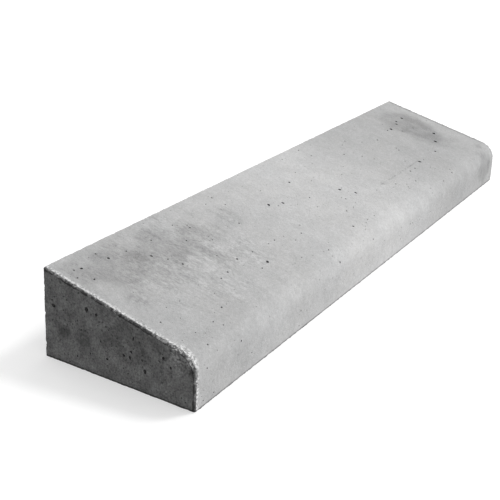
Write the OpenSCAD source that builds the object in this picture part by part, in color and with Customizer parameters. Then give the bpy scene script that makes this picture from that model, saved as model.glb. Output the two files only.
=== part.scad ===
// Precast concrete wheel stop: one wedge-shaped casting around a tied steel cage.
// Frame: X along the stop, nose and front face toward -Y, tall back face toward +Y, +Z up.
// Origin: middle of the underside.

/* [Casting] */
// Length of the casting at its underside
stop_length = 1000; // [960:10:1040]
// Depth of the casting, from the front face to the back face
stop_width = 225; // [220:1:235]
// Height of the back face
back_height = 120; // [118:1:126]
// Height at which the sloping top would meet the front face if the nose weren't rounded
nose_height = 67; // [66:1:70]
// Radius of the rounded nose
nose_radius = 32; // [26:1:36]
// How far each end leans inward for each millimetre of height
end_draft = 0.03; // [0.01:0.01:0.04]

/* [Cage] */
// Concrete between the links and the nearest face
cover = 20; // [19:0.5:21]
// Concrete between the ends of the long bars and the end faces
bar_end_cover = 25; // [20:1:35]
// Diameter of the long bars
bar_d = 8; // [7:0.5:8.5]
// Where the middle bar lies, measured from the middle of the underside
bottom_bar_y = -20; // [-30:1:-15]
// Diameter of the wire that the links are bent from
link_d = 5; // [4.5:0.5:5.5]
// Inside radius of every bend in a link
link_bend = 10; // [9:0.5:10.5]
// Distance from one link to the next
link_pitch = 150; // [140:1:155]

/* [Tie wire] */
// Diameter of the wire that ties each bar to each link
tie_d = 1.4; // [1.2:0.1:1.6]
// Length of the twisted tail on each tie
tie_tail = 12; // [8:1:14]

/* [Spacers] */
// Width of a spacer wheel along the bar that it clips onto
wheel_width = 10; // [8:1:14]
// Thickness of a spacer wheel's rim, hub and spokes
wheel_wall = 2; // [1.6:0.2:2.4]
// Number of spokes in a spacer wheel
wheel_spokes = 6; // [5:1:8]
// Skin of cement over the place where a spacer wheel met the mould
wheel_skin = 1; // [0.8:0.1:2]
// Where the wheels sit along a long bar, measured out from the middle
bar_wheel_x = 425; // [410:1:430]
// Where the wheels sit on the top of a link, measured from the middle
top_wheel_y = -30; // [-40:1:-20]

/* [Dowel sockets] */
// Distance from the middle to each socket
socket_x = 300; // [290:1:310]
// Distance from the middle of the underside back to the sockets
socket_y = 25; // [20:1:30]
// Inside diameter of a socket, for a 20 mm dowel set in grout
socket_d = 28; // [24:1:30]
// Depth of a socket
socket_depth = 70; // [60:1:72]
// Wall of the plastic sleeve and of its cap
sleeve_wall = 2; // [1.5:0.1:2.5]
// How far the cap's skirt reaches down the sleeve
cap_skirt = 10; // [6:1:15]

/* [Hidden] */
$fn = 48;

concrete_grey = "silver";
steel_grey = "slategray";
wire_grey = "dimgray";
plastic_grey = "gainsboro";
sleeve_black = "black";

link_count = 6;
// Cement between two pieces of steel that lie against each other
film = 0.3;
// Room between a tie and the steel that it goes round
tie_slack = 0.4;
// How much thicker a link's wire is at a bend than along a straight leg
bend_swell = 0.1;
// How far a straight leg runs on into the bend at each of its ends
leg_lap = 0.3;
// How far a cutting shape runs past what it cuts
past = 10;

half_length = stop_length / 2;
half_width = stop_width / 2;
slope_angle = atan((back_height - nose_height) / stop_width);

// The sections below are drawn as [y, z] in the plane across the stop.
// Height of the sloping top at y
function top_z(y) = nose_height + tan(slope_angle) * (y + half_width);
// Distance from the middle to the leaning end face at height z
function end_x(z) = half_length - end_draft * z;
function direction(angle) = [cos(angle), sin(angle)];

// Middle of the nose's round, which touches the front face and the sloping top
nose_y = nose_radius - half_width;
nose_centre = [nose_y, top_z(nose_y) - nose_radius / cos(slope_angle)];
slope_normal = direction(slope_angle + 90);

// A link's wire follows four lines, each set in from a face of the casting
link_inset = cover + link_d / 2;
link_radius = link_bend + link_d / 2;
link_front = link_inset - half_width;
link_back = half_width - link_inset;
function link_top_z(y) = top_z(y) - link_inset / cos(slope_angle);
link_corners = [
    [link_front, link_inset],
    [link_back, link_inset],
    [link_back, link_top_z(link_back)],
    [link_front, link_top_z(link_front)]
];
// Which way the wire runs as it leaves each corner
link_headings = [0, 90, 180 + slope_angle, 270];
function heading_into(i) = link_headings[(i + 3) % 4];
function turn_at(i) = (link_headings[i] - heading_into(i) + 360) % 360;
function bend_setback(i) = link_radius * tan(turn_at(i) / 2);
function bend_centre(i) = link_corners[i]
    + bend_setback(i) * direction(link_headings[i])
    + link_radius * direction(link_headings[i] + 90);
function outward_at(i) = heading_into(i) + turn_at(i) / 2 - 90;

// A long bar's seat is [centre, angle of the line from the link's wire to the bar]
wire_to_bar = link_d / 2 + film + bar_d / 2;
function corner_seat(i) = [
    bend_centre(i) + (link_radius - wire_to_bar) * direction(outward_at(i)),
    outward_at(i) + 180
];
front_seat = [[link_front + wire_to_bar, (bend_centre(0)[1] + bend_centre(3)[1]) / 2], 0];
bottom_seat = [[bottom_bar_y, link_inset + wire_to_bar], 90];
back_bottom_seat = corner_seat(1);
back_top_seat = corner_seat(2);

// A tie's ring clears the corners of the bar and the wire where it crosses them aslant
tie_ring = (bar_d + link_d + film) / 2 + tie_slack + tie_d / 2;

// Room between a wheel's hub and the steel that it clips onto
clip_gap = 0.2;
// Spokes stand in by 1 mm from both sides of their wheel
spoke_width = wheel_width - 2;
front_wheel_reach = half_width + front_seat[0][0] - wheel_skin;
back_wheel_reach = half_width - back_top_seat[0][0] - wheel_skin;
top_wheel_reach = link_inset - wheel_skin;
top_wheel_links = [0, 2, 3, 5];

function link_x(i) = (i - (link_count - 1) / 2) * link_pitch;

// Turns a section drawn in X and Y to stand across the stop, with its own Z along the stop
module across(x = 0) {
    translate([x, 0, 0]) rotate([90, 0, 90]) children();
}

// The casting

module profile() {
    polygon([
        [-half_width, 0],
        [half_width, 0],
        [half_width, back_height],
        nose_centre + nose_radius * slope_normal,
        nose_centre,
        [-half_width, nose_centre[1]]
    ]);
    translate(nose_centre) intersection() {
        circle(r = nose_radius, $fn = 128);
        polygon(2 * nose_radius * [[0, 0], slope_normal, [-1, 1], [-1, 0]]);
    }
}

// The space between the two leaning ends
module between_ends() {
    low = -past;
    high = back_height + past;
    rotate([90, 0, 0]) linear_extrude(stop_width + 2 * past, center = true) polygon([
        [-end_x(low), low],
        [end_x(low), low],
        [end_x(high), high],
        [-end_x(high), high]
    ]);
}

module sockets() {
    for (side = [-1, 1]) {
        translate([side * socket_x, socket_y, 0]) {
            translate([0, 0, -past])
                cylinder(d = socket_d + 2 * sleeve_wall, h = past + socket_depth);
            translate([0, 0, socket_depth - cap_skirt])
                cylinder(d = socket_d + 4 * sleeve_wall, h = cap_skirt + sleeve_wall);
        }
    }
}

module concrete_body() {
    color(concrete_grey) difference() {
        intersection() {
            across() linear_extrude(stop_length + 2 * past, center = true) profile();
            between_ends();
        }
        front_bar();
        bottom_bar();
        back_bottom_bar();
        back_top_bar();
        for (i = [0 : link_count - 1]) link(i);
        front_bar_ties();
        bottom_bar_ties();
        back_bottom_bar_ties();
        back_top_bar_ties();
        front_spacers();
        top_spacers();
        back_spacers();
        sockets();
    }
}

// Long bars

module long_bar(seat) {
    reach = end_x(seat[0][1]) - bar_end_cover;
    color(steel_grey) across() translate(seat[0]) cylinder(d = bar_d, h = 2 * reach, center = true);
}

module front_bar() { long_bar(front_seat); }
module bottom_bar() { long_bar(bottom_seat); }
module back_bottom_bar() { long_bar(back_bottom_seat); }
module back_top_bar() { long_bar(back_top_seat); }

// Links: closed loops of wire with a bend at each corner, welded shut

module link_bend_at(i) {
    translate(bend_centre(i)) rotate(heading_into(i) - 90)
        rotate_extrude(angle = turn_at(i)) translate([link_radius, 0]) circle(d = link_d);
}

module link_leg_from(i) {
    next = (i + 1) % 4;
    span = norm(link_corners[next] - link_corners[i]);
    start = link_corners[i] + (bend_setback(i) - leg_lap) * direction(link_headings[i]);
    length = span - bend_setback(i) - bend_setback(next) + 2 * leg_lap;
    translate(start) rotate(link_headings[i]) rotate([0, 90, 0])
        cylinder(d = link_d - bend_swell, h = length);
}

module link(i) {
    color(steel_grey) across(link_x(i)) for (corner = [0 : 3]) {
        link_bend_at(corner);
        link_leg_from(corner);
    }
}

// Ties: a ring of soft wire set aslant round a bar and a link, with a twisted tail

module tie(seat) {
    middle = seat[0] - (film + link_d) / 2 * direction(seat[1]);
    translate(middle) rotate(seat[1]) rotate([45, 0, 0]) {
        rotate_extrude() translate([tie_ring, 0]) circle(d = tie_d, $fn = 24);
        translate([tie_ring, 0, 0]) rotate([0, 90, 0]) cylinder(d = 2 * tie_d, h = tie_tail, $fn = 24);
    }
}

module ties_on(seat) {
    color(wire_grey) for (i = [0 : link_count - 1]) across(link_x(i)) tie(seat);
}

module front_bar_ties() { ties_on(front_seat); }
module bottom_bar_ties() { ties_on(bottom_seat); }
module back_bottom_bar_ties() { ties_on(back_bottom_seat); }
module back_top_bar_ties() { ties_on(back_top_seat); }

// Spacers: plastic wheels that clip onto the steel and hold it clear of the mould

// A wheel with its axle along Z and its slot toward +X
module wheel(clip_d, reach) {
    hub_radius = clip_d / 2 + clip_gap + wheel_wall;
    difference() {
        union() {
            difference() {
                cylinder(r = reach, h = wheel_width, center = true);
                cylinder(r = reach - wheel_wall, h = wheel_width + past, center = true);
            }
            cylinder(r = hub_radius, h = wheel_width, center = true);
            for (spoke = [0.5 : wheel_spokes]) rotate(spoke * 360 / wheel_spokes)
                translate([hub_radius - wheel_wall / 2, -wheel_wall / 2, -spoke_width / 2])
                    cube([reach - hub_radius, wheel_wall, spoke_width]);
        }
        cylinder(d = clip_d + 2 * clip_gap, h = wheel_width + past, center = true);
        translate([0, -clip_d / 3, -wheel_width / 2 - past])
            cube([reach + past, clip_d * 2 / 3, wheel_width + 2 * past]);
    }
}

module wheels_along(seat, reach) {
    color(plastic_grey) for (x = [-bar_wheel_x, 0, bar_wheel_x])
        across(x) translate(seat[0]) rotate(seat[1]) wheel(bar_d, reach);
}

module front_spacers() { wheels_along(front_seat, front_wheel_reach); }
module back_spacers() { wheels_along(back_top_seat, back_wheel_reach); }

module top_spacers() {
    color(plastic_grey) for (i = top_wheel_links)
        across(link_x(i)) translate([top_wheel_y, link_top_z(top_wheel_y)])
            rotate(slope_angle - 90) rotate([90, 0, 0]) wheel(link_d, top_wheel_reach);
}

// Dowel sockets: a plastic tube open at the underside, closed by a cap inside the casting

module dowel_sleeve(side) {
    color(sleeve_black) translate([side * socket_x, socket_y, 0]) difference() {
        cylinder(d = socket_d + 2 * sleeve_wall, h = socket_depth);
        translate([0, 0, -past]) cylinder(d = socket_d, h = socket_depth + 2 * past);
    }
}

module sleeve_cap(side) {
    color(sleeve_black) translate([side * socket_x, socket_y, socket_depth]) difference() {
        translate([0, 0, -cap_skirt])
            cylinder(d = socket_d + 4 * sleeve_wall, h = cap_skirt + sleeve_wall);
        translate([0, 0, -cap_skirt - past])
            cylinder(d = socket_d + 2 * sleeve_wall, h = cap_skirt + past);
    }
}

concrete_body();
front_bar();
bottom_bar();
back_bottom_bar();
back_top_bar();
link(0);  // link_1
link(1);  // link_2
link(2);  // link_3
link(3);  // link_4
link(4);  // link_5
link(5);  // link_6
front_bar_ties();
bottom_bar_ties();
back_bottom_bar_ties();
back_top_bar_ties();
front_spacers();
top_spacers();
back_spacers();
dowel_sleeve(-1);  // dowel_sleeve_left
dowel_sleeve(1);  // dowel_sleeve_right
sleeve_cap(-1);  // sleeve_cap_left
sleeve_cap(1);  // sleeve_cap_right
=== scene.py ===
"""Looks for the precast concrete wheel stop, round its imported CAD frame. Metres, X along the stop, Z up."""
import math
import random
from collections import namedtuple

import bmesh
import bpy
import numpy as np
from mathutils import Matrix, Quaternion, Vector, noise
from mathutils.geometry import delaunay_2d_cdt


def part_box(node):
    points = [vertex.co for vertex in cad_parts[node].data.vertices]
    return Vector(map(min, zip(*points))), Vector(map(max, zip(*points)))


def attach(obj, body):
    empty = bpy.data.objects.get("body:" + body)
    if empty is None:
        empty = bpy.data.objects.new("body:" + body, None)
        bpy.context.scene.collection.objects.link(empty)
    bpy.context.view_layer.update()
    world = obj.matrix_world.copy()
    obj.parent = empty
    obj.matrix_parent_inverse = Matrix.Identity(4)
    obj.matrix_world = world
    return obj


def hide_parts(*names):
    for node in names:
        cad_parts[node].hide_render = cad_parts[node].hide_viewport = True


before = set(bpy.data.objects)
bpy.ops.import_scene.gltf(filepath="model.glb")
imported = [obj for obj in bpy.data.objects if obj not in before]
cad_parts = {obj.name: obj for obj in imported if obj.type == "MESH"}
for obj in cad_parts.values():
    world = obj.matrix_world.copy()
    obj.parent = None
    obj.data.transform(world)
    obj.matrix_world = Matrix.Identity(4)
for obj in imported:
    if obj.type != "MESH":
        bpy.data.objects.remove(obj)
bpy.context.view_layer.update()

MM = 0.001

# The casting's faces, from the frame and from the three sizes that its box doesn't give
BODY_LOW, BODY_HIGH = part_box("concrete_body")
HALF_LENGTH = BODY_HIGH.x
HALF_WIDTH = BODY_HIGH.y
BACK_HEIGHT = BODY_HIGH.z
NOSE_HEIGHT = 67 * MM
NOSE_RADIUS = 32 * MM
END_DRAFT = 0.03
SLOPE = math.atan((BACK_HEIGHT - NOSE_HEIGHT) / (2 * HALF_WIDTH))
UPHILL = np.array([math.cos(SLOPE), math.sin(SLOPE)])
NOSE_TURN = math.pi / 2 - SLOPE
NOSE_Y = NOSE_RADIUS - HALF_WIDTH
FRONT_RUN = NOSE_HEIGHT + math.tan(SLOPE) * NOSE_RADIUS - NOSE_RADIUS / math.cos(SLOPE)
NOSE_CENTRE = np.array([NOSE_Y, FRONT_RUN])
NOSE_RUN = NOSE_RADIUS * NOSE_TURN
SLOPE_RUN = (HALF_WIDTH - NOSE_Y + NOSE_RADIUS * math.sin(SLOPE)) / math.cos(SLOPE)
COVER_RUN = FRONT_RUN + NOSE_RUN + SLOPE_RUN

# A dowel socket: its axis, its radius, the radius round its cap, and the heights where that starts and ends
Socket = namedtuple("Socket", "x y radius cap_radius step_z roof_z")


def socket(side):
    """The socket that a sleeve and its cap leave in the casting."""
    low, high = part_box("dowel_sleeve_" + side)
    cap_low, cap_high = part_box("sleeve_cap_" + side)
    middle = (low + high) / 2
    cap_radius = (cap_high.x - cap_low.x) / 2
    return Socket(middle.x, middle.y, (high.x - low.x) / 2, cap_radius, cap_low.z, cap_high.z)


SOCKETS = [socket("left"), socket("right")]
SOCKET_SIDES = 48

# How far apart the skin's points are at arrises and holes, and at most
FINE = 1.25 * MM
COARSE = 16 * MM
# Points of neighbouring faces this close to each other are welded
MERGE = 2e-6
# Triangles whose middle lies this close to a face's edge are left out
SLIVER = 1e-6
# Least distance from a point inside a face to the points along its edge
EDGE_GAP = 0.6 * FINE


# --- The casting's faces, each unrolled into a flat sheet: u runs along the stop and s round it ---


def cover(s):
    """Points [y, z] and outward normals up the front face, round the nose and up the sloping top."""
    turn = np.clip((s - FRONT_RUN) / NOSE_RADIUS, 0, NOSE_TURN)
    normal = np.stack([-np.cos(turn), np.sin(turn)], -1)
    up_front = np.minimum(s - FRONT_RUN, 0)[:, None] * np.array([0, 1])
    up_slope = np.maximum(s - FRONT_RUN - NOSE_RUN, 0)[:, None] * UPHILL
    return NOSE_CENTRE + NOSE_RADIUS * normal + up_front + up_slope, normal


def back(s):
    """Points and normals down the back face."""
    return np.stack([np.full_like(s, HALF_WIDTH), BACK_HEIGHT - s], -1), np.tile([1.0, 0.0], (len(s), 1))


def under(s):
    """Points and normals forward along the underside."""
    return np.stack([HALF_WIDTH - s, np.zeros_like(s)], -1), np.tile([0.0, -1.0], (len(s), 1))


SHEETS = {"cover": (cover, COVER_RUN), "back": (back, BACK_HEIGHT), "under": (under, 2 * HALF_WIDTH)}


def end_x(z):
    """Distance from the middle to the leaning end faces at height z."""
    return HALF_LENGTH - END_DRAFT * z


def on_sheet(name, flat):
    """Places and outward normals in space for the points [u, s] of a sheet."""
    section, normal = SHEETS[name][0](flat[:, 1])
    x = flat[:, 0] / HALF_LENGTH * end_x(section[:, 1])
    return np.column_stack([x, section]), np.column_stack([np.zeros(len(flat)), normal])


def cover_depth(y, z):
    """How deep a point lies under the front, nose and top, and the outward normal there."""
    out = np.stack([y - NOSE_CENTRE[0], z - NOSE_CENTRE[1]], -1)
    turn = np.clip(np.arctan2(out[:, 1], -out[:, 0]), 0, NOSE_TURN)
    normal = np.stack([-np.cos(turn), np.sin(turn)], -1)
    return NOSE_RADIUS - (out * normal).sum(-1), np.column_stack([np.zeros(len(y)), normal])


def depths(places):
    """For each face of the casting, how deep the places lie under it, and its outward normals."""
    x, y, z = places.T
    lean = math.hypot(1, END_DRAFT)
    count = len(places)
    return {
        "cover": cover_depth(y, z),
        "back": (HALF_WIDTH - y, np.tile([0.0, 1.0, 0.0], (count, 1))),
        "under": (z, np.tile([0.0, 0.0, -1.0], (count, 1))),
        "near_end": ((end_x(z) + x) / lean, np.tile([-1 / lean, 0.0, END_DRAFT / lean], (count, 1))),
        "far_end": ((end_x(z) - x) / lean, np.tile([1 / lean, 0.0, END_DRAFT / lean], (count, 1))),
    }


# --- Air holes ---

# The largest ones on the top: place along the stop, distance down from the back edge, and radius, in mm
TOP_HOLES = [
    (-465, 30, 1.8), (-470, 55, 1.5), (-420, 35, 1.9), (-370, 65, 1.7), (-300, 70, 1.2), (-390, 190, 1.5),
    (-280, 140, 1.6), (-250, 170, 2.2), (-270, 174, 1.3), (-165, 165, 1.2), (-140, 160, 1.3), (-110, 85, 2.1),
    (-85, 95, 2.1), (-15, 65, 1.9), (-50, 200, 1.6), (-15, 170, 1.6), (20, 150, 1.4), (40, 128, 2.6),
    (55, 150, 2.0), (170, 68, 1.5), (280, 166, 2.6), (225, 172, 1.6), (290, 75, 1.8), (365, 68, 3.0),
    (400, 63, 2.4), (412, 57, 2.2), (440, 56, 3.0), (355, 165, 2.0), (400, 146, 2.8), (435, 128, 3.0),
]
# The same on the near end: distance from the back face, height, and radius
END_HOLES = [
    (14, 73, 2.2), (66, 83, 2.6), (81, 80, 1.9), (122, 40, 1.8), (131, 40, 1.9), (133, 48, 1.5),
    (153, 29, 2.3), (179, 55, 1.7), (190, 46, 1.4), (149, 42, 1.4), (136, 67, 1.5), (97, 27, 1.5),
]
# How many smaller holes each face has, by chance
SCATTER = {"cover": 330, "back": 90, "under": 40, "near_end": 70, "far_end": 70}
SMALL_HOLE = (0.5 * MM, 1.4 * MM)
# The listed holes on the near end are made this much larger
END_HOLE_SCALE = 1.15
# Each ring of a hole's bowl: share of its radius and share of its depth
HOLE_RINGS = ((1.0, 0.0), (0.84, 0.6), (0.45, 0.95))
# Least distance from a scattered hole's middle to an arris or a socket
HOLE_CLEARANCE = 5 * MM


def ring_angles(sides):
    """Angles evenly spaced round a circle."""
    return np.arange(sides) * 2 * math.pi / sides


class Hole:
    """An air hole: a slightly irregular bowl that opens in a sheet."""

    def __init__(self, centre, radius, rng):
        self.centre = np.array(centre)
        self.radius = radius
        self.depth = radius * rng.uniform(0.9, 1.5)
        self.sides = int(np.clip(2 * math.pi * radius / (0.75 * MM), 7, 16))
        self.stretch = rng.uniform(1.0, 1.35)
        self.turn = rng.uniform(0, math.pi)
        self.wobble = [rng.uniform(0.88, 1.1) for _ in range(self.sides)]
        self.reach = radius * self.stretch * 1.1

    def points(self):
        """The hole's points on the sheet and how far each is pushed in."""
        angles = ring_angles(self.sides)
        ring = np.stack([self.stretch * np.cos(angles), np.sin(angles)], -1) * np.array(self.wobble)[:, None]
        cos, sin = math.cos(self.turn), math.sin(self.turn)
        ring = ring @ np.array([[cos, sin], [-sin, cos]]) * self.radius
        flat = [self.centre + share * ring for share, _ in HOLE_RINGS] + [self.centre[None]]
        sunk = [np.full(self.sides, self.depth * share) for _, share in HOLE_RINGS] + [[self.depth]]
        return np.concatenate(flat), np.concatenate(sunk)


def scattered_holes(holes, count, low, high, fits, rng):
    """Adds small holes at random, clear of the sheet's edges and of each other."""
    tries = 0
    while len(holes) < count and tries < 20 * count:
        tries += 1
        spot = (rng.uniform(low[0], high[0]), rng.uniform(low[1], high[1]))
        radius = SMALL_HOLE[0] + (SMALL_HOLE[1] - SMALL_HOLE[0]) * rng.random() ** 2
        new = Hole(spot, radius, rng)
        clear = all(math.dist(spot, h.centre) > h.reach + new.reach + 2 * FINE for h in holes)
        if clear and fits(np.array([spot]))[0]:
            holes.append(new)
    return holes


# --- Meshing a flat sheet finely at its edges and round its holes ---


def graded_points(low, high, spacing, rng):
    """Points that fill a rectangle about as far apart as spacing(points) asks."""
    size = np.array(high) - np.array(low)
    cells = np.ceil(size / COARSE).astype(int)
    half = size / cells / 2
    grid = np.meshgrid(*[np.arange(n) for n in cells], indexing="ij")
    waiting = np.array(low) + half * (2 * np.stack([g.ravel() for g in grid], -1) + 1)
    done = []
    while len(waiting):
        too_big = 2 * half.max() > spacing(waiting)
        settled = waiting[~too_big]
        done.append(settled + rng.uniform(-0.4, 0.4, settled.shape) * half)
        half = half / 2
        quarters = [waiting[too_big] + half * np.array(q) for q in ((-1, -1), (-1, 1), (1, -1), (1, 1))]
        waiting = np.concatenate(quarters)
    return np.concatenate(done)


def spaced(low, high, step):
    """Evenly spaced numbers from low to high, about a step apart."""
    return np.linspace(low, high, int(math.ceil((high - low) / step)) + 1)


def triangulate(edge, inner, holes):
    """Triangles over a convex sheet, from its edge points, inner points and holes. Gives the points, how far
    each is sunk, and the triangles."""
    for hole in holes:
        away = np.linalg.norm(inner - hole.centre, axis=1)
        inner = inner[away > hole.reach + 0.55 * FINE]
    flat = [edge, inner]
    sunk = [np.zeros(len(edge) + len(inner))]
    for hole in holes:
        points, push = hole.points()
        flat.append(points)
        sunk.append(push)
    flat = np.concatenate(flat)
    result = delaunay_2d_cdt([Vector(p) for p in flat], [], [], 0, 1e-9)
    order = [ids[0] for ids in result[3]]
    return np.array([tuple(v) for v in result[0]]), np.concatenate(sunk)[order], result[2]


def near_holes(points, holes):
    """Distance from each point to the nearest hole's rim."""
    if not holes:
        return np.full(len(points), COARSE)
    away = [np.linalg.norm(points - h.centre, axis=1) - h.reach for h in holes]
    return np.min(away, axis=0)


# --- The casting's skin ---


def openings(name):
    """The middle and radius of each socket that opens in a sheet."""
    if name != "under":
        return []
    return [(np.array([one.x, HALF_WIDTH - one.y]), one.radius) for one in SOCKETS]


def inside_sheet(name):
    """A test for the places on a sheet where an air hole can open."""
    run = SHEETS[name][1]

    def fits(points):
        clear = np.abs(points[:, 0]) < HALF_LENGTH - HOLE_CLEARANCE
        clear &= (points[:, 1] > HOLE_CLEARANCE) & (points[:, 1] < run - HOLE_CLEARANCE)
        for centre, radius in openings(name):
            clear &= np.linalg.norm(points - centre, axis=1) > radius + HOLE_CLEARANCE
        return clear

    return fits


def inside_end(points):
    """Whether an air hole can open at these [y, z] places of an end face."""
    clear = (points[:, 1] > HOLE_CLEARANCE) & (points[:, 0] < HALF_WIDTH - HOLE_CLEARANCE)
    return clear & (cover_depth(points[:, 0], points[:, 1])[0] > HOLE_CLEARANCE)


def place_holes(rng):
    """Every face's air holes: the listed ones, then smaller ones at random."""
    holes = {name: [] for name in SCATTER}
    for x, down, radius in TOP_HOLES:
        holes["cover"].append(Hole((x * MM, COVER_RUN - down * MM), radius * MM, rng))
    for along, height, radius in END_HOLES:
        spot = (HALF_WIDTH - along * MM, height * MM)
        holes["near_end"].append(Hole(spot, END_HOLE_SCALE * radius * MM, rng))
    for name, count in SCATTER.items():
        if name in SHEETS:
            low, high, fits = (-HALF_LENGTH, 0), (HALF_LENGTH, SHEETS[name][1]), inside_sheet(name)
        else:
            low, high, fits = (-HALF_WIDTH, 0), (HALF_WIDTH, BACK_HEIGHT), inside_end
        scattered_holes(holes[name], count, low, high, fits, rng)
    return holes


# The skin stays fine this far from an arris. Spacing then grows by these shares of the distance
FINE_BAND = 3 * MM
EDGE_GROWTH = 0.45
HOLE_GROWTH = 0.6


def edge_spacing(edge_distance, hole_distance):
    """How far apart the skin's points are, from their distance to the nearest arris and hole."""
    by_edge = FINE + EDGE_GROWTH * np.maximum(edge_distance - FINE_BAND, 0)
    by_hole = FINE + HOLE_GROWTH * np.maximum(hole_distance, 0)
    return np.clip(np.minimum(by_edge, by_hole), FINE, COARSE)


def sheet_mesh(name, holes, rng):
    """One unrolled sheet as a mesh: places in space, outward normals, depth of holes and triangles."""
    run = SHEETS[name][1]
    along = spaced(-HALF_LENGTH, HALF_LENGTH, FINE)
    across = spaced(0, run, FINE)
    edge = [np.column_stack([along, np.full_like(along, s)]) for s in (0, run)]
    for u in (-HALF_LENGTH, HALF_LENGTH):
        edge.append(np.column_stack([np.full(len(across) - 2, u), across[1:-1]]))

    def to_edge(points):
        u, s = points.T
        return np.minimum(HALF_LENGTH - np.abs(u), np.minimum(s, run - s))

    inner = graded_points((-HALF_LENGTH, 0), (HALF_LENGTH, run),
                          lambda p: edge_spacing(to_edge(p), near_holes(p, holes)), rng)
    inner = inner[to_edge(inner) > EDGE_GAP]
    for centre, radius in openings(name):
        edge.append(centre + radius * unit_circle(SOCKET_SIDES))
        inner = inner[np.linalg.norm(inner - centre, axis=1) > radius + EDGE_GAP]
    flat, sunk, faces = triangulate(np.concatenate(edge), inner, holes)
    middles = flat[np.array(faces)].mean(axis=1)
    keep = to_edge(middles) > SLIVER
    for centre, radius in openings(name):
        keep &= np.linalg.norm(middles - centre, axis=1) > radius
    faces = [face for face, kept in zip(faces, keep) if kept]
    places, normals = on_sheet(name, flat)
    return places, normals, sunk, faces, to_edge(flat)


def end_mesh(side, holes, rng):
    """One end face as a mesh, as sheet_mesh gives it. side is -1 at the near end and 1 at the far one."""
    edge = np.concatenate([SHEETS[name][0](spaced(0, run, FINE)[1:])[0] for name, (_, run) in SHEETS.items()])

    def to_edge(points):
        y, z = points.T
        return np.minimum(cover_depth(y, z)[0], np.minimum(HALF_WIDTH - y, z))

    inner = graded_points((-HALF_WIDTH, 0), (HALF_WIDTH, BACK_HEIGHT),
                          lambda p: edge_spacing(np.abs(to_edge(p)), near_holes(p, holes)), rng)
    inner = inner[to_edge(inner) > EDGE_GAP]
    flat, sunk, faces = triangulate(edge, inner, holes)
    keep = to_edge(flat[np.array(faces)].mean(axis=1)) > SLIVER
    faces = [face for face, kept in zip(faces, keep) if kept]
    places = np.column_stack([side * end_x(flat[:, 1]), flat])
    normals = np.tile([side, 0, END_DRAFT] / np.hypot(1, END_DRAFT), (len(flat), 1))
    if side < 0:
        faces = [face[::-1] for face in faces]
    return places, normals, sunk, faces, to_edge(flat)


def unit_circle(sides):
    """Points evenly spaced round a circle of radius 1."""
    angles = ring_angles(sides)
    return np.stack([np.cos(angles), np.sin(angles)], -1)


def socket_walls(mesh):
    """Adds each dowel socket to a bmesh: the sleeve's bore, the wider one round its cap, and a roof."""
    for one in SOCKETS:
        profile = (
            (one.radius, 0),
            (one.radius, one.step_z),
            (one.cap_radius, one.step_z),
            (one.cap_radius, one.roof_z),
        )
        rings = []
        for ring_radius, z in profile:
            ring = np.array([one.x, one.y]) + ring_radius * unit_circle(SOCKET_SIDES) * [1, -1]
            rings.append([mesh.verts.new((*point, z)) for point in ring])
        for low, high in zip(rings, rings[1:]):
            for i in range(SOCKET_SIDES):
                j = (i + 1) % SOCKET_SIDES
                mesh.faces.new((low[i], low[j], high[j], high[i]))
        mesh.faces.new(rings[-1])


def drift(place, size, octaves=3):
    """Smooth random number at a place, with features of about that size."""
    return noise.fractal(Vector(place) / size, 1.0, 2.0, octaves)


def sag(places, to_edge):
    """Depth of the slight hollows in the faces, which fade out towards the arrises."""
    deep = np.array([0.5 + 0.5 * drift(p, 90 * MM) for p in places])
    fade = np.clip(to_edge / SAG_FADE, 0, 1)
    return SAG * np.clip(deep, 0, 1) * fade * fade


# The two faces that meet at each arris, and how deep it is worn down
ARRISES = [
    ("cover", "back", 0.45 * MM), ("cover", "under", 0.9 * MM), ("back", "under", 0.7 * MM),
    ("cover", "near_end", 1.2 * MM), ("cover", "far_end", 1.2 * MM), ("back", "near_end", 0.3 * MM),
    ("back", "far_end", 0.45 * MM), ("under", "near_end", 0.45 * MM), ("under", "far_end", 0.45 * MM),
]
# Depth of the hollows in the faces, and how far from an arris they reach their full depth
SAG = 0.35 * MM
SAG_FADE = 12 * MM
# Wear is only looked for where a point lies this close to both faces of an arris, depths added
WEAR_REACH = 6 * MM


def wear(places):
    """Rubs the arrises down unevenly. Gives the new places and how far each point has moved."""
    start = places.copy()
    for face_a, face_b, worn in ARRISES:
        found = depths(places)
        (depth_a, normal_a), (depth_b, normal_b) = found[face_a], found[face_b]
        total = depth_a + depth_b
        both = normal_a + normal_b
        for i in np.flatnonzero(total < WEAR_REACH):
            ragged = 0.9 * drift(places[i], 14 * MM) + 1.1 * drift(places[i] + 1, 4 * MM)
            cut = worn * max(0.25, 1 + ragged) - total[i]
            if cut > 0:
                places[i] -= cut * both[i] / (both[i] @ both[i])
    return places, np.linalg.norm(places - start, axis=1)


# The larger notches round the nose at the near end: share of the cover's run, half length and depth in mm
NOTCHES = ((0.165, 6, 4.6), (0.20, 4, 3), (0.235, 6, 4), (0.28, 6, 3.6))


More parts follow.
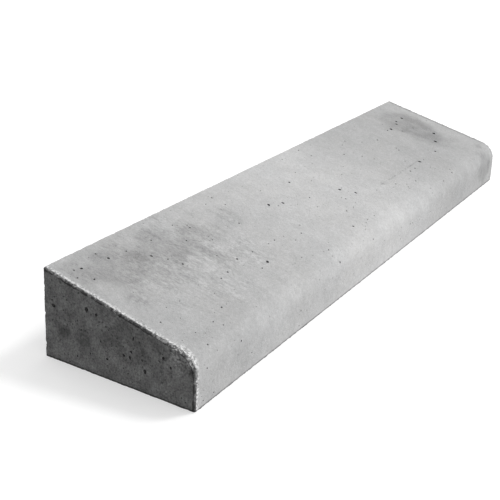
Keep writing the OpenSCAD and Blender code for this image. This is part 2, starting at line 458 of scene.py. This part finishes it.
def chip_spots(rng):
    """The chips along the arrises: place, way out of the concrete, half the length and depth of each."""
    spots = []

    def add(count, place_at, length, depth):
        """Chips at random places, from ranges of half length and depth in mm. The length then varies more."""
        for _ in range(count):
            place = np.array(place_at(rng.random()))
            found = depths(place[None])
            near = [normal[0] for gap, normal in found.values() if abs(gap[0]) < 0.1 * MM]
            out = np.sum(near, axis=0)
            half = rng.uniform(length[0] * MM, length[1] * MM) * rng.choice((0.6, 1.0, 1.0, 1.4))
            deep = min(rng.uniform(depth[0] * MM, depth[1] * MM), half)
            spots.append((place, out / np.linalg.norm(out), half, deep))

    def cover_end(side):
        def place(share):
            y, z = cover(np.array([share * COVER_RUN]))[0][0]
            return side * end_x(z), y, z
        return place

    def nose_end(share):
        y, z = cover(np.array([FRONT_RUN + (share - 0.1) * 1.5 * NOSE_RUN]))[0][0]
        return -end_x(z), y, z

    def lengthwise(y, z):
        return lambda share: ((2 * share - 1) * end_x(z), y, z)

    def upright(side):
        return lambda share: (side * end_x(share * BACK_HEIGHT), HALF_WIDTH, share * BACK_HEIGHT)

    for side in (-1, 1):
        add(150, cover_end(side), (1.4, 3.4), (0.9, 2.3))
        add(34, cover_end(side), (2.5, 4.5), (1.6, 3.0))
        add(9, upright(side), (1.2, 3), (0.3, 0.7))
    add(18, nose_end, (3, 6), (1.6, 3.4))
    for share, half, deep in NOTCHES:
        add(1, lambda _: cover_end(-1)(share), (half, half), (deep, deep))
    add(60, lengthwise(HALF_WIDTH, BACK_HEIGHT), (1.2, 3.0), (0.25, 0.8))
    add(60, lengthwise(-HALF_WIDTH, 0), (1.2, 4), (0.4, 1.3))
    add(50, lengthwise(HALF_WIDTH, 0), (1.2, 4), (0.4, 1.3))
    return spots


def chip(places, rng):
    """Scoops the chips out of the arrises. Gives how far each point has moved."""
    start = places.copy()
    for place, out, half, deep in chip_spots(rng):
        radius = (deep + half * half / deep) / 2
        centre = place + (radius - deep) * out
        away = places - centre
        gap = np.linalg.norm(away, axis=1)
        for i in np.flatnonzero(gap < 1.15 * radius):
            edge = radius * (1 + 0.16 * drift(places[i], 3 * MM, 2))
            if gap[i] < edge:
                places[i] = centre + away[i] * edge / gap[i]
    # A scoop near a corner pushes the third face outward, so such points go back onto it
    for depth, normal in depths(places).values():
        places += np.minimum(depth, 0)[:, None] * normal
    return np.linalg.norm(places - start, axis=1)


# Edges bent more than this are shaded sharp
SHARP_ANGLE = math.radians(38)


def new_piece(name, mesh, material, replaced):
    """Puts a mesh into the scene as a piece that stands for a CAD node."""
    piece = bpy.data.objects.new(name, mesh)
    bpy.context.collection.objects.link(piece)
    mesh.materials.clear()
    mesh.materials.append(material)
    mesh.shade_smooth()
    mesh.set_sharp_from_angle(angle=SHARP_ANGLE)
    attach(piece, "root")
    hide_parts(replaced)
    return piece


# Depth of a hole, and of a worn or chipped place, that the material shows at full strength
FULL_HOLE = 2 * MM
FULL_WEAR = 1.5 * MM
# The dark lip under the top arris: depth of its middle, how far it reaches from there, and its soft part
LIP_MIDDLE = 1.8 * MM
LIP_REACH = 4.25 * MM
LIP_FADE = 2.5 * MM


def casting(material):
    """The concrete: five faces with air holes, welded along worn and chipped arrises."""
    rng = random.Random(11)
    jitter = np.random.default_rng(11)
    holes = place_holes(rng)
    faces_of = [sheet_mesh(name, holes[name], jitter) for name in SHEETS]
    faces_of += [end_mesh(-1, holes["near_end"], jitter), end_mesh(1, holes["far_end"], jitter)]
    shell = bmesh.new()
    depth_layer = shell.verts.layers.float.new("hole")
    for places, normals, sunk, faces, to_edge in faces_of:
        lowered = sunk + sag(places, to_edge) * (normals[:, 2] > -0.5)
        places = places - normals * lowered[:, None]
        verts = [shell.verts.new(place) for place in places]
        for vert, depth in zip(verts, sunk):
            vert[depth_layer] = depth / FULL_HOLE
        for face in faces:
            shell.faces.new([verts[i] for i in face])
    socket_walls(shell)
    bmesh.ops.remove_doubles(shell, verts=shell.verts, dist=MERGE)
    bmesh.ops.recalc_face_normals(shell, faces=shell.faces)
    mesh = bpy.data.meshes.new("concrete_casting")
    shell.to_mesh(mesh)
    shell.free()
    places, worn = wear(np.array([vert.co for vert in mesh.vertices], float))
    chipped = chip(places, rng)
    mesh.vertices.foreach_set("co", places.ravel())
    under_top = depths(places)["cover"][0]
    lip = (LIP_REACH - np.abs(under_top - LIP_MIDDLE)) / LIP_FADE
    for name, value in (("worn", worn / FULL_WEAR), ("chipped", chipped / FULL_WEAR), ("lip", lip)):
        mesh.attributes.new(name, "FLOAT", "POINT").data.foreach_set("value", np.clip(value, 0, 1))
    return new_piece("concrete_casting", mesh, material, "concrete_body")


# --- Reinforcing bars: hot-rolled, with crescent ribs ---

RIB_PITCH = 5.6 * MM
RIB_HEIGHT = 0.3 * MM
# How far a rib slants across a side of the bar, in pitches
RIB_LEAN = 0.35
# The seam's height as a share of the ribs'
SEAM = 0.7
BAR_SIDES = 16


def ribbed_bar(node, material):
    """A long bar with slanting crescent ribs on two sides and a low seam between them."""
    low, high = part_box(node)
    middle = (low + high) / 2
    radius = (high.z - low.z) / 2
    stations = spaced(low.x, high.x, RIB_PITCH / 5)
    angles = ring_angles(BAR_SIDES)
    across = np.abs(np.cos(angles))
    lean = RIB_LEAN * np.sin(angles) * np.sign(np.cos(angles))
    shell = bmesh.new()
    rings = []
    for x in stations:
        crest = np.clip(2.2 * np.cos(2 * math.pi * (x / RIB_PITCH + lean)) - 1.1, 0, 1)
        seam = SEAM * (across < 0.1)
        reach = radius - RIB_HEIGHT + RIB_HEIGHT * np.maximum(crest * np.sqrt(across), seam)
        ring = np.stack([middle.y + reach * np.cos(angles), middle.z + reach * np.sin(angles)], -1)
        rings.append([shell.verts.new((x, *point)) for point in ring])
    for near, far in zip(rings, rings[1:]):
        for i in range(BAR_SIDES):
            j = (i + 1) % BAR_SIDES
            shell.faces.new((near[i], near[j], far[j], far[i]))
    shell.faces.new(rings[0])
    shell.faces.new(rings[-1])
    bmesh.ops.recalc_face_normals(shell, faces=shell.faces)
    mesh = bpy.data.meshes.new("ribbed_" + node)
    shell.to_mesh(mesh)
    shell.free()
    return new_piece("ribbed_" + node, mesh, material, node)


# --- Materials ---


class Look:
    """A node material being put together. Most methods add a node and give back its output."""

    def __init__(self, name, **constants):
        self.material = bpy.data.materials.new(name)
        self.material.use_nodes = True
        self.tree = self.material.node_tree
        self.shader = self.tree.nodes["Principled BSDF"]
        for socket_name, value in constants.items():
            self.shader.inputs[socket_name.replace("_", " ")].default_value = value
        self.place = self.add("ShaderNodeTexCoord").outputs["Object"]

    def add(self, kind, **settings):
        node = self.tree.nodes.new(kind)
        for name, value in settings.items():
            setattr(node, name, value)
        return node

    def give(self, target, value):
        """Links a socket to an output, or sets it to a plain value."""
        if isinstance(value, bpy.types.NodeSocket):
            self.tree.links.new(value, target)
        else:
            target.default_value = value

    def maths(self, operation, *values):
        node = self.add("ShaderNodeMath", operation=operation)
        for target, value in zip(node.inputs, values):
            self.give(target, value)
        return node.outputs[0]

    def vector(self, operation, *values):
        node = self.add("ShaderNodeVectorMath", operation=operation)
        for target, value in zip(node.inputs, values):
            self.give(target, value)
        return node.outputs["Value" if operation == "LENGTH" else "Vector"]

    def noise(self, size, detail=2.0, stretch=(1, 1, 1), offset=0.0):
        """Soft random number about 0.5 with features of that size, longer where the stretch is over 1."""
        scaled = self.vector("MULTIPLY", self.place, [1 / (size * share) for share in stretch])
        node = self.add("ShaderNodeTexNoise")
        self.give(node.inputs["Vector"], self.vector("ADD", scaled, [offset] * 3))
        node.inputs["Scale"].default_value = 1
        node.inputs["Detail"].default_value = detail
        return node.outputs[0]

    def remap(self, value, low, high, to_low=0.0, to_high=1.0):
        """Takes low..high smoothly to to_low..to_high, and holds the value beyond them."""
        node = self.add("ShaderNodeMapRange", interpolation_type="SMOOTHSTEP")
        self.give(node.inputs["Value"], value)
        for name, limit in (("From Min", low), ("From Max", high), ("To Min", to_low), ("To Max", to_high)):
            node.inputs[name].default_value = limit
        return node.outputs[0]

    def product(self, first, *others):
        for other in others:
            first = self.maths("MULTIPLY", first, other)
        return first

    def darken(self, tone, mask, strength):
        """Takes a share of the tone away where the mask is 1. A negative strength adds."""
        kept = self.maths("SUBTRACT", 1.0, self.maths("MULTIPLY", mask, strength))
        return self.maths("MULTIPLY", tone, kept)

    def attribute(self, name):
        return self.add("ShaderNodeAttribute", attribute_name=name).outputs["Fac"]

    def blend(self, share, first, second):
        """A colour between two others."""
        node = self.add("ShaderNodeMix", data_type="RGBA")
        self.give(node.inputs[0], share)
        self.give(node.inputs[6], first)
        self.give(node.inputs[7], second)
        return node.outputs[2]

    def bump(self, height, distance):
        """Roughens the surface by a height of 0 to 1 times the distance. Later calls add to earlier ones."""
        node = self.add("ShaderNodeBump")
        node.inputs["Distance"].default_value = distance
        self.give(node.inputs["Height"], height)
        before = self.shader.inputs["Normal"]
        if before.is_linked:
            self.tree.links.new(before.links[0].from_socket, node.inputs["Normal"])
        self.tree.links.new(node.outputs[0], before)

    def finish(self, colour, roughness):
        self.give(self.shader.inputs["Base Color"], colour)
        self.give(self.shader.inputs["Roughness"], roughness)
        return self.material


# Darker patches on the casting, one of them painted shade in a notch: middle [x, y, z] and half sizes in mm,
# and how much light each takes away
STAINS_AND_NOTCH_SHADE = [
    ((-435, 62, 108), (54, 48, 40), 0.15),
    ((-345, 52, 106), (62, 44, 40), 0.14),
    ((-262, 36, 101), (84, 44, 40), 0.10),
    ((-380, 45, 103), (140, 76, 40), 0.11),
    ((408, 58, 106), (58, 46, 30), 0.12),
    ((420, 16, 97), (50, 54, 30), 0.13),
    ((408, -30, 87), (44, 38, 30), 0.10),
    ((420, 38, 102), (48, 44, 30), 0.09),
    ((400, 4, 95), (44, 38, 30), 0.09),
    ((452, -108, 48), (38, 22, 38), 0.20),
    ((432, -112, 38), (12, 20, 30), 0.09),
    ((478, -110, 48), (10, 20, 28), 0.11),
    ((493, 0, 90), (5, 135, 60), 0.30),
    ((465, -90, 68), (13, 9, 12), 0.20),
    ((133, -47, 83), (14, 8, 12), 0.14),
    # Painted shade in the large notch at the near end of the nose
    ((-498, -108, 51), (7, 7, 8), 0.60),
    ((-500, 82, 42), (14, 13, 11), 0.38),
    ((-500, 52, 41), (14, 15, 10), 0.32),
    ((-500, -30, 55), (14, 60, 30), 0.12),
]


def stain(look, middle, reach, waver):
    """1 in the middle of a soft-edged patch and 0 outside it."""
    shifted = look.vector("SUBTRACT", look.place, [v * MM for v in middle])
    shrunk = look.vector("MULTIPLY", shifted, [1 / (v * MM) for v in reach])
    distance = look.maths("ADD", look.vector("LENGTH", shrunk), waver)
    return look.remap(distance, 1.15, 0.45)


def pinholes(look, spacing, largest, offset):
    """1 in tiny round holes that lie about that far apart, and 0 between them."""
    node = look.add("ShaderNodeTexVoronoi")
    moved = look.vector("MULTIPLY", look.place, [1 / spacing] * 3)
    look.give(node.inputs["Vector"], look.vector("ADD", moved, [offset] * 3))
    node.inputs["Scale"].default_value = 1
    chance = look.add("ShaderNodeSeparateColor")
    look.give(chance.inputs[0], node.outputs["Color"])
    reach = look.maths("MULTIPLY", look.maths("POWER", chance.outputs[0], 3.0), largest / spacing)
    return look.remap(look.maths("SUBTRACT", node.outputs["Distance"], reach), 0.03, -0.03)


# Share of light that clean concrete sends back, and the near end's share of that, which paints shade onto the
# end faces
CONCRETE_TONE = 0.45
END_SHADE_TONE = 0.74


def cast_tone(look, x, z):
    """Brightness of the cast skin about 1: clouds, stains with one painted shade among them, streaks and
    sandy grain.
    """
    clouds = look.remap(look.noise(150 * MM, 3), 0.3, 0.7, 0.965, 1.035)
    mottle = look.remap(look.noise(28 * MM, 4, offset=3), 0.3, 0.7, 0.96, 1.04)
    fleck = look.remap(look.noise(5 * MM, 4, offset=5), 0.3, 0.7, 0.955, 1.045)
    sand = look.remap(look.noise(1.3 * MM, 2, offset=9), 0.25, 0.75, 0.90, 1.10)
    tone = look.product(clouds, mottle, fleck, sand)
    waver = look.remap(look.noise(38 * MM, 5), 0.25, 0.75, -0.4, 0.4)
    for middle, reach, strength in STAINS_AND_NOTCH_SHADE:
        tone = look.darken(tone, stain(look, middle, reach, waver), strength)

    # A thin broken line along the far half of the top
    hairline = stain(look, (205, -46, 83), (105, 2.2, 20), 0.0)
    gaps = look.remap(look.noise(6 * MM, 3), 0.42, 0.62)
    tone = look.darken(tone, look.maths("MULTIPLY", hairline, gaps), 0.3)

    # Brush marks across the stop, strongest in the stains by the near end, and drips low down
    combed = look.maths("MAXIMUM", stain(look, (-335, 20, 95), (170, 115, 60), waver), 0.2)
    streaks = look.remap(look.noise(7 * MM, 4, (1, 6, 6)), 0.35, 0.65, -1, 1)
    grit = look.remap(look.noise(3 * MM, 3, (1, 2, 2), 6), 0.3, 0.7, -1, 1)
    tone = look.darken(tone, look.maths("MULTIPLY", combed, streaks), 0.075)
    tone = look.darken(tone, look.maths("MULTIPLY", combed, grit), 0.13)
    drips = look.remap(look.noise(16 * MM, 3, (1, 1, 9), 7), 0.4, 0.7)
    low_down = look.remap(z, 62 * MM, 20 * MM)
    tone = look.darken(tone, look.maths("MULTIPLY", low_down, drips), 0.05)

    # Slow changes along the stop, with a clean strip beyond the last stain
    tone = look.product(tone, look.remap(x, 452 * MM, 460 * MM, 1.0, 1.06))
    tone = look.product(tone, look.remap(x, -0.9 * HALF_LENGTH, 0, 0.905, 1.13))
    return look.product(tone, look.remap(x, 0.05 * HALF_LENGTH, 0.64 * HALF_LENGTH, 1.0, 0.78))


def end_tone_with_shade(look, z):
    """Brightness of the near end's face: painted shade over the whole face, blotches, specks, a dark ragged
    lip and a foot darkened by painted contact shadow.
    """
    mottle = look.remap(look.noise(20 * MM, 6, offset=11), 0.3, 0.7, 0.78, 1.22)
    fleck = look.remap(look.noise(2.6 * MM, 4, offset=12), 0.3, 0.7, 0.72, 1.28)
    specks = look.remap(look.noise(4 * MM, 5, offset=15), 0.60, 0.70, 1.0, 0.5)
    ragged_lip = look.maths("MULTIPLY", look.attribute("lip"), look.noise(9 * MM, 6, offset=16))
    lip = look.remap(ragged_lip, 0.32, 0.54, 1.0, 0.27)
    # Painted contact shadow: the end face darkens towards the floor
    foot = look.remap(z, 2 * MM, 9 * MM, 0.8, 1.0)
    return look.product(mottle, fleck, specks, lip, foot, END_SHADE_TONE)


def crumbs(look, x, past_end, at_end):
    """Loose-grained concrete beside the end arrises: paler at the near end and darker at the far one."""
    grains = look.remap(look.noise(2.6 * MM, 4, offset=14), 0.40, 0.56, -0.22, 0.72)
    off_face = look.remap(at_end, 1, 0)
    beside_end = look.product(look.remap(past_end, HALF_LENGTH - 9 * MM, HALF_LENGTH - 3 * MM), off_face)
    at_nose = stain(look, (-500, -98, 66), (26, 26, 22), 0.0)
    beside_nose = look.product(look.remap(past_end, HALF_LENGTH - 14 * MM, HALF_LENGTH - 7 * MM), at_nose)
    beside = look.maths("MAXIMUM", beside_end, beside_nose)
    return look.product(grains, beside, look.remap(x, -HALF_LENGTH, HALF_LENGTH, -1.0, 0.6))


def concrete_look():
    """Mould-cast grey concrete, with painted shade that darkens the ends (the near end most) and a painted
    contact shadow round its foot, and paler where the arrises are worn or chipped.
    """
    look = Look("cast_concrete")
    split = look.add("ShaderNodeSeparateXYZ")
    look.give(split.inputs[0], look.place)
    x, _, z = split.outputs
    tone = cast_tone(look, x, z)

    past_end = look.maths("MULTIPLY_ADD", z, END_DRAFT, look.maths("ABSOLUTE", x))
    at_end = look.remap(past_end, HALF_LENGTH - 3 * MM, HALF_LENGTH - 0.7 * MM)
    # Painted shade: the end faces take the darker end brightness, fully at the near end and 0.4 of it at the
    # far one
    near_end = look.product(at_end, look.remap(x, -HALF_LENGTH, HALF_LENGTH, 1.0, 0.4))
    tone = look.darken(tone, near_end, look.maths("SUBTRACT", 1.0, end_tone_with_shade(look, z)))
    tone = look.darken(tone, crumbs(look, x, past_end, at_end), 1.0)
    # Painted contact shadow: the lowest few millimetres all round are darkened where the stop meets the floor
    contact_shadow_band = look.remap(z, 1.5 * MM, 3.5 * MM, 0.3, 1.0)
    tone = look.product(tone, contact_shadow_band)

    # Broken and rubbed places are paler and grainier, and air holes and pores are darkened with painted shade
    ragged = look.remap(look.noise(2.4 * MM, 3, offset=13), 0.38, 0.62, -0.35, 1.0)
    broken = look.maths("MAXIMUM", look.attribute("worn"), look.attribute("chipped"))
    paler = look.product(broken, ragged, look.remap(x, -HALF_LENGTH, HALF_LENGTH, 1.0, 0.45))
    tone = look.darken(tone, paler, -1.0)
    tone = look.darken(tone, look.remap(look.attribute("hole"), 0.02, 0.4), 0.8)
    pores = look.maths("MAXIMUM", pinholes(look, 4.5 * MM, 0.6 * MM, 0), pinholes(look, 12 * MM, 1.1 * MM, 4))
    tone = look.darken(tone, pores, 0.45)
    end_pores = look.maths("MULTIPLY", near_end, pinholes(look, 7 * MM, 1.5 * MM, 8))
    tone = look.darken(tone, end_pores, 0.6)

    warmth = look.remap(look.noise(90 * MM, 3, offset=17), 0.3, 0.7)
    tint = look.blend(warmth, (0.997, 1.0, 1.003, 1), (1.003, 1.0, 0.997, 1))
    grey = look.vector("SCALE", tint)
    look.give(grey.node.inputs["Scale"], look.maths("MULTIPLY", tone, CONCRETE_TONE))

    look.bump(look.noise(0.8 * MM, 3, offset=21), 0.35 * MM)
    look.bump(look.noise(3.5 * MM, 4, offset=23), 0.6 * MM)
    look.bump(look.maths("SUBTRACT", 1.0, pores), 0.5 * MM)
    return look.finish(grey, look.remap(look.noise(6 * MM, 3, offset=25), 0.3, 0.7, 0.82, 0.95))


def rolled_steel_look():
    """Hot-rolled bar: blue-grey mill scale with rust coming through."""
    look = Look("rolled_steel", Metallic=0.6)
    rust = look.remap(look.noise(9 * MM, 5), 0.45, 0.62)
    fine = look.noise(1.2 * MM, 4, offset=3)
    scale_colour = look.blend(fine, (0.07, 0.075, 0.085, 1), (0.16, 0.165, 0.18, 1))
    rust_colour = look.blend(fine, (0.16, 0.055, 0.02, 1), (0.36, 0.15, 0.06, 1))
    look.bump(fine, 0.15 * MM)
    return look.finish(look.blend(rust, scale_colour, rust_colour), look.remap(rust, 0, 1, 0.45, 0.85))


def wire_look(name, dark, pale, roughness, drawn):
    """Steel wire, with faint marks that run along it where it was drawn through a die."""
    look = Look(name, Metallic=0.85)
    marks = look.noise(0.6 * MM, 3, (drawn, 1, 1))
    cloud = look.noise(14 * MM, 4, offset=2)
    look.bump(marks, 0.06 * MM)
    colour = look.blend(look.remap(look.maths("MULTIPLY", marks, cloud), 0.12, 0.4), dark, pale)
    return look.finish(colour, look.remap(cloud, 0.3, 0.7, roughness - 0.08, roughness + 0.12))


def plastic_look(name, dark, pale, roughness):
    """Moulded plastic with a faint flow pattern and a fine satin texture."""
    look = Look(name)
    flow = look.remap(look.noise(22 * MM, 4), 0.3, 0.7)
    satin = look.noise(0.35 * MM, 2, offset=5)
    look.bump(satin, 0.04 * MM)
    shine = look.remap(satin, 0.3, 0.7, roughness - 0.06, roughness + 0.06)
    return look.finish(look.blend(flow, dark, pale), shine)


# --- The pieces ---

casting(concrete_look())
rolled_steel = rolled_steel_look()
for bar in ("front_bar", "bottom_bar", "back_bottom_bar", "back_top_bar"):
    ribbed_bar(bar, rolled_steel)

# The look of each CAD node that is kept, by a part of its name
FINISHES = {
    "link_": wire_look("drawn_wire", (0.20, 0.20, 0.21, 1), (0.42, 0.42, 0.43, 1), 0.42, 8),
    "_ties": wire_look("annealed_wire", (0.03, 0.03, 0.032, 1), (0.10, 0.095, 0.09, 1), 0.55, 2),
    "_spacers": plastic_look("spacer_plastic", (0.42, 0.43, 0.44, 1), (0.50, 0.51, 0.52, 1), 0.5),
    "sleeve_": plastic_look("sleeve_plastic", (0.045, 0.046, 0.048, 1), (0.075, 0.076, 0.078, 1), 0.55),
}
for name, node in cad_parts.items():
    for part, material in FINISHES.items():
        if part in name:
            node.data.materials.clear()
            node.data.materials.append(material)


# --- Floor, backdrop, light and camera ---

STUDIO_RADIUS = 12.0


def glow(name, brightness, white):
    """A studio surface that lights itself and takes a soft shadow."""
    material = bpy.data.materials.new(name)
    material.use_nodes = True
    shader = material.node_tree.nodes["Principled BSDF"]
    shader.inputs["Base Color"].default_value = (white, white, white, 1)
    shader.inputs["Roughness"].default_value = 1.0
    shader.inputs["Specular IOR Level"].default_value = 0.0
    shader.inputs["Emission Color"].default_value = (1, 1, 1, 1)
    shader.inputs["Emission Strength"].default_value = brightness
    return material


def studio_surface(name, shell, material):
    """A floor or backdrop from a bmesh. It neither tints nor shades the stop, because light passes by it."""
    mesh = bpy.data.meshes.new(name)
    shell.to_mesh(mesh)
    shell.free()
    surface = bpy.data.objects.new(name, mesh)
    bpy.context.collection.objects.link(surface)
    mesh.materials.append(material)
    surface.visible_diffuse = False
    surface.visible_glossy = False
    surface.visible_shadow = False


def floor():
    """A pale round floor under the stop."""
    shell = bmesh.new()
    bmesh.ops.create_circle(shell, cap_ends=True, segments=96, radius=STUDIO_RADIUS)
    studio_surface("floor", shell, glow("floor_white", brightness=0.46, white=0.62))


def backdrop():
    """A white ball round the whole studio."""
    shell = bmesh.new()
    bmesh.ops.create_uvsphere(shell, u_segments=64, v_segments=32, radius=STUDIO_RADIUS)
    studio_surface("backdrop", shell, glow("backdrop_white", brightness=1.1, white=0.0))


def sun(name, toward, strength, softness):
    """A far light. toward is the direction from the stop to it, and softness its width in degrees."""
    light = bpy.data.lights.new(name, "SUN")
    light.energy = strength
    light.angle = math.radians(softness)
    lamp = bpy.data.objects.new(name, light)
    lamp.rotation_euler = Vector(toward).to_track_quat("Z", "Y").to_euler()
    bpy.context.collection.objects.link(lamp)


def sky(lit_side, dim, bright):
    """White light from all round, bright on one side and dim on the other."""
    world = bpy.data.worlds.new("studio")
    world.use_nodes = True
    tree = world.node_tree
    toward = tree.nodes.new("ShaderNodeVectorMath")
    toward.operation = "DOT_PRODUCT"
    toward.inputs[1].default_value = lit_side
    tree.links.new(tree.nodes.new("ShaderNodeTexCoord").outputs["Generated"], toward.inputs[0])
    strength = tree.nodes.new("ShaderNodeMapRange")
    strength.interpolation_type = "SMOOTHSTEP"
    for name, value in (("From Min", -0.15), ("From Max", 0.25), ("To Min", dim), ("To Max", bright)):
        strength.inputs[name].default_value = value
    tree.links.new(toward.outputs["Value"], strength.inputs["Value"])
    background = tree.nodes["Background"]
    tree.links.new(strength.outputs[0], background.inputs["Strength"])
    background.inputs["Color"].default_value = (1, 1, 1, 1)
    bpy.context.scene.world = world


def camera(at, looking_at, roll, focal_length):
    """A camera turned about its own line of sight by roll."""
    lens = bpy.data.cameras.new("camera")
    lens.lens = focal_length
    lens.sensor_width = 36
    eye = bpy.data.objects.new("camera", lens)
    eye.location = at
    facing = (Vector(looking_at) - Vector(at)).to_track_quat("-Z", "Y")
    eye.rotation_mode = "QUATERNION"
    eye.rotation_quaternion = facing @ Quaternion((0, 0, 1), roll)
    bpy.context.collection.objects.link(eye)
    bpy.context.scene.camera = eye


floor()
backdrop()
sun("key", toward=(0.73, -0.43, 1.0), strength=1.35, softness=14)
sun("fill", toward=(0.25, 0.9, 0.35), strength=1.2, softness=50)
sky(lit_side=(0.55, -0.85, 0.15), dim=0.05, bright=1.1)
# A fit to the edges in the photo gives this place, aim, roll and lens
camera(
    at=(-1.2586, -0.6369, 0.6029),
    looking_at=(-0.055, 0.0922, -0.0077),
    roll=math.radians(2.07),
    focal_length=69.1,
)
bpy.context.scene.view_settings.view_transform = "Standard"
